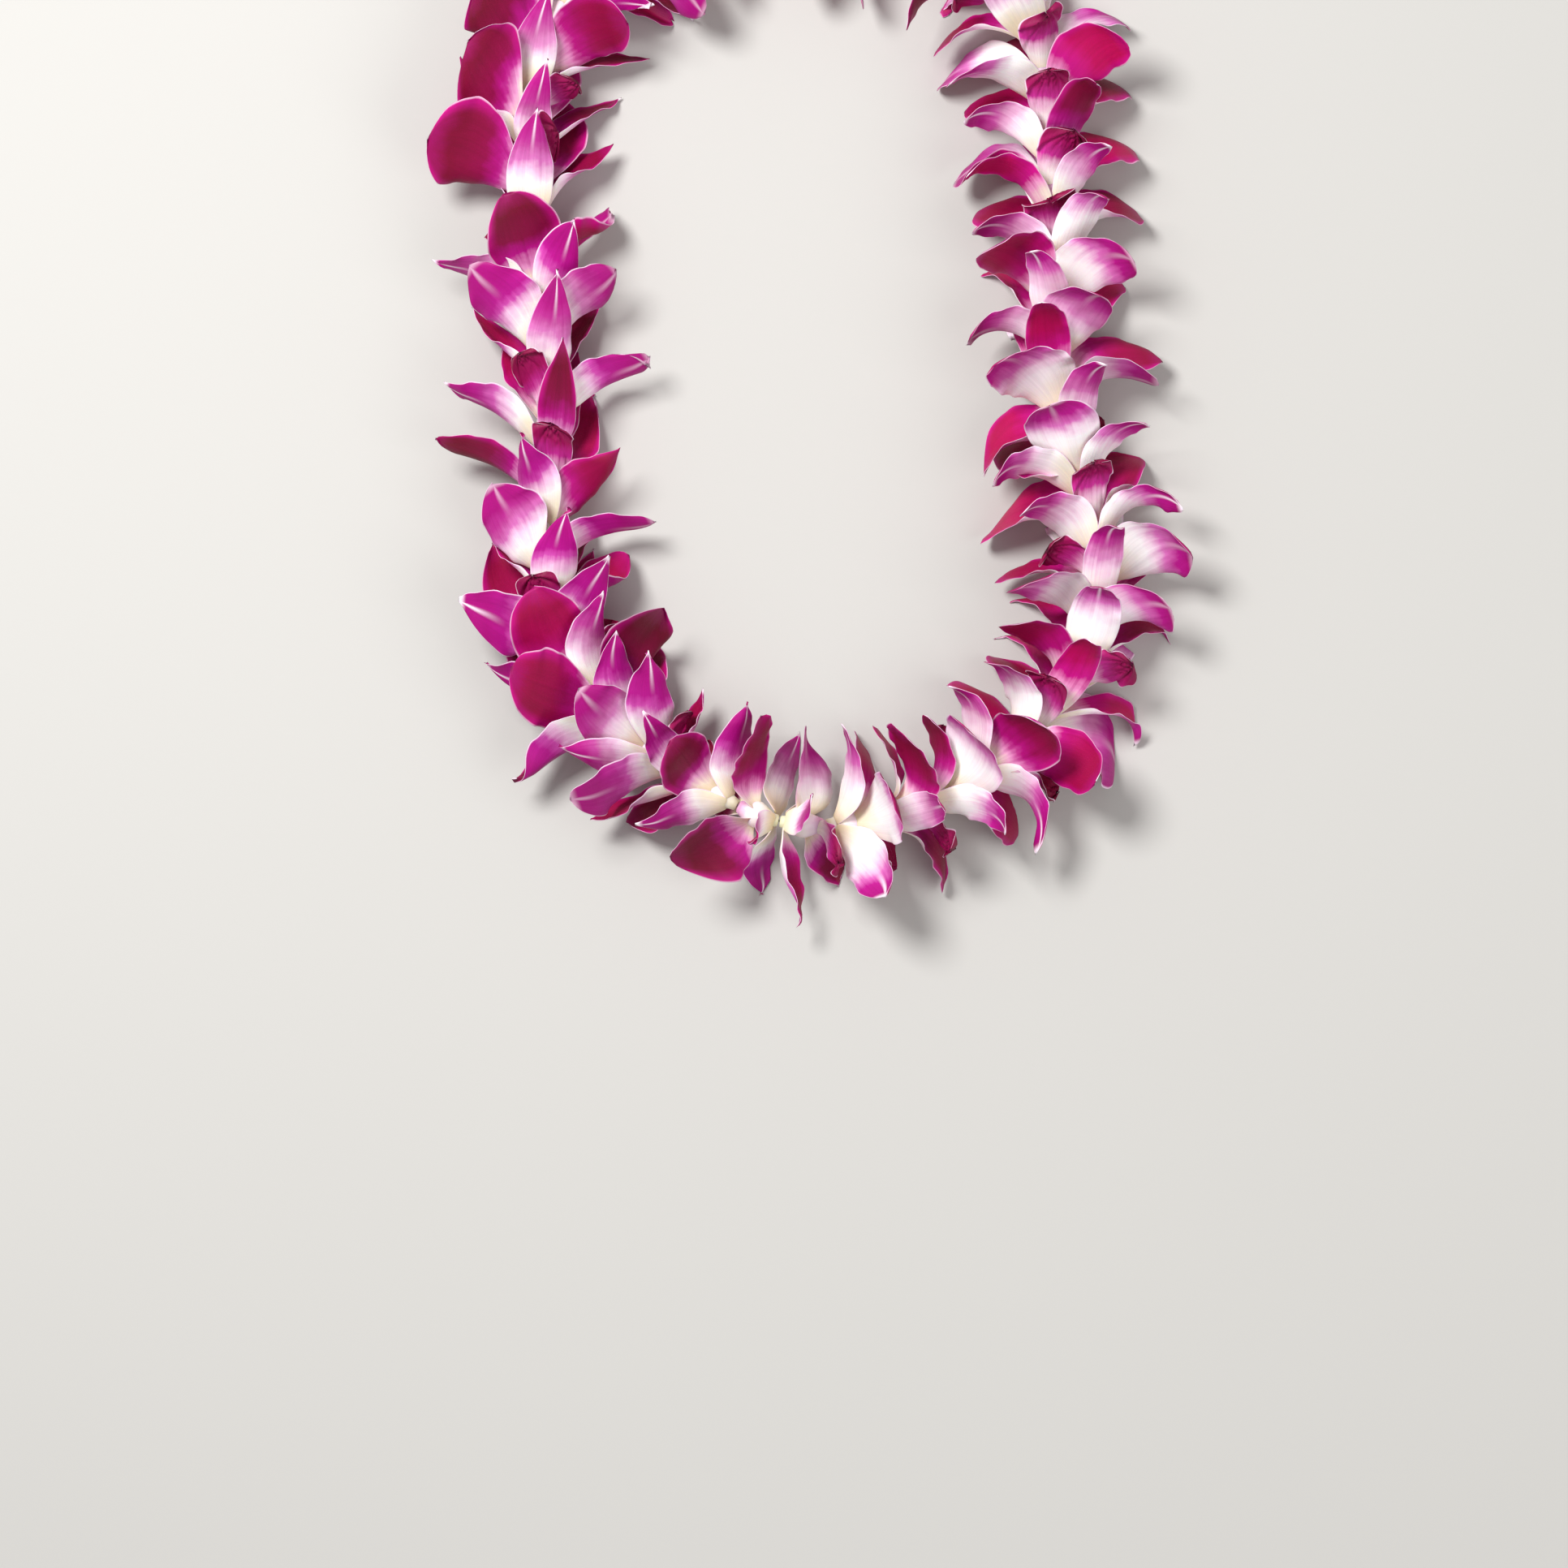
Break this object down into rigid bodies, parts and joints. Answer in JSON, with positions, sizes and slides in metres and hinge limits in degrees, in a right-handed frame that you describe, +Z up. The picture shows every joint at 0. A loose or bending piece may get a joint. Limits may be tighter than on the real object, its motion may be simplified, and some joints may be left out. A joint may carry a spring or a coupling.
{
  "type": "fresh flower lei",
  "caption": "Single-strand fresh orchid lei: magenta blooms threaded through their throats on one knotted loop of cotton thread, lying flat as a long oval ring.",
  "frame": {"origin": "middle of the lei's footprint, on the surface that it lies on", "axes": "+Z up from that surface; +Y along the longer way of the oval, from the front of the loop, which hangs lowest when the lei is worn, to the knot at the back of the neck; +X to the right of a viewer who looks down on it with the front of the loop nearest"},
  "size_m": [0.282, 0.4238, 0.0591],
  "materials": {
    "orchid_magenta": "waxy satin petal, deep magenta front with a white base and margin",
    "orchid_pink": "waxy satin petal, pale pink back that deepens to magenta at the margin",
    "thread": "matt white cotton thread"
  },
  "bodies": {
    "root": {"thread": "thread", "bloom_01": "orchid_magenta", "bloom_02": "orchid_magenta", "bloom_03": "orchid_magenta", "bloom_04": "orchid_magenta", "bloom_05": "orchid_magenta", "bloom_06": "orchid_magenta", "bloom_07": "orchid_magenta", "bloom_08": "orchid_magenta", "bloom_09": "orchid_magenta", "bloom_10": "orchid_magenta", "bloom_11": "orchid_magenta", "bloom_12": "orchid_magenta", "bloom_13": "orchid_magenta", "bloom_14": "orchid_magenta", "bloom_15": "orchid_magenta", "bloom_16": "orchid_magenta", "bloom_17": "orchid_magenta", "bloom_18": "orchid_magenta", "bloom_19": "orchid_magenta", "bloom_20": "orchid_pink", "bloom_21": "orchid_pink", "bloom_22": "orchid_pink", "bloom_23": "orchid_pink", "bloom_24": "orchid_pink", "bloom_25": "orchid_pink", "bloom_26": "orchid_pink", "bloom_27": "orchid_pink", "bloom_28": "orchid_pink", "bloom_29": "orchid_pink", "bloom_30": "orchid_pink", "bloom_31": "orchid_pink", "bloom_32": "orchid_pink", "bloom_33": "orchid_pink", "bloom_34": "orchid_pink", "bloom_35": "orchid_pink", "bloom_36": "orchid_pink", "bloom_37": "orchid_pink", "bloom_38": "orchid_pink", "bloom_39": "orchid_pink", "bloom_40": "orchid_pink"}
  },
  "joints": []
}
